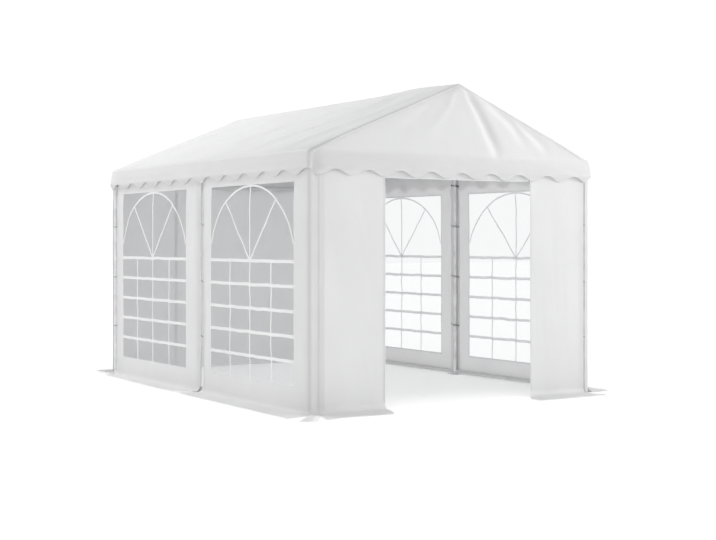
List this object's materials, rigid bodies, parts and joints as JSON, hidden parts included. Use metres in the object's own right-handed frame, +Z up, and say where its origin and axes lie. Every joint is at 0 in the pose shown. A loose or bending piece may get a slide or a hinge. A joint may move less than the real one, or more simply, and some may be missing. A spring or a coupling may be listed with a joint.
{
  "type": "marquee tent",
  "caption": "Gabled party tent of white coated fabric on a steel tube frame, with arched windows in the long walls and an open doorway in the front gable.",
  "frame": {"origin": "on the ground in the middle of the tent's footprint", "axes": "+Z up, +Y along the ridge from the doorway gable at -Y to the closed rear gable, +X to the right seen from the doorway"},
  "size_m": [3.5426, 4.6826, 2.7822],
  "materials": {
    "roof_fabric": "white PVC-coated polyester, satin, slightly translucent",
    "wall_fabric": "white PVC-coated polyester, satin, slightly translucent",
    "clear_film": "clear PVC window film, glossy, with welded white bars",
    "galvanised_steel": "galvanised tube, dull grey",
    "tie_rubber": "black elastic tie cord and plastic eyelet"
  },
  "bodies": {
    "root": {"roof_cover": "roof_fabric", "side_wall_left_front": "wall_fabric", "side_wall_left_rear": "wall_fabric", "side_wall_right_front": "wall_fabric", "side_wall_right_rear": "wall_fabric", "front_wall_left": "wall_fabric", "front_wall_right": "wall_fabric", "door_header": "wall_fabric", "rear_wall": "wall_fabric", "window_left_front": "clear_film", "window_left_rear": "clear_film", "window_right_front": "clear_film", "window_right_rear": "clear_film", "post_left_front": "galvanised_steel", "post_left_mid": "galvanised_steel", "post_left_rear": "galvanised_steel", "post_right_front": "galvanised_steel", "post_right_mid": "galvanised_steel", "post_right_rear": "galvanised_steel", "eave_joint_left_front": "galvanised_steel", "eave_joint_left_mid": "galvanised_steel", "eave_joint_left_rear": "galvanised_steel", "eave_joint_right_front": "galvanised_steel", "eave_joint_right_mid": "galvanised_steel", "eave_joint_right_rear": "galvanised_steel", "ridge_joint_front": "galvanised_steel", "ridge_joint_mid": "galvanised_steel", "ridge_joint_rear": "galvanised_steel", "rafter_left_front": "galvanised_steel", "rafter_left_mid": "galvanised_steel", "rafter_left_rear": "galvanised_steel", "rafter_right_front": "galvanised_steel", "rafter_right_mid": "galvanised_steel", "rafter_right_rear": "galvanised_steel", "eave_beam_left_front": "galvanised_steel", "eave_beam_left_rear": "galvanised_steel", "eave_beam_right_front": "galvanised_steel", "eave_beam_right_rear": "galvanised_steel", "ridge_beam_front": "galvanised_steel", "ridge_beam_rear": "galvanised_steel", "gable_tie_front": "galvanised_steel", "gable_tie_rear": "galvanised_steel", "ground_bar_left_front": "galvanised_steel", "ground_bar_left_rear": "galvanised_steel", "ground_bar_right_front": "galvanised_steel", "ground_bar_right_rear": "galvanised_steel"}
  },
  "joints": []
}
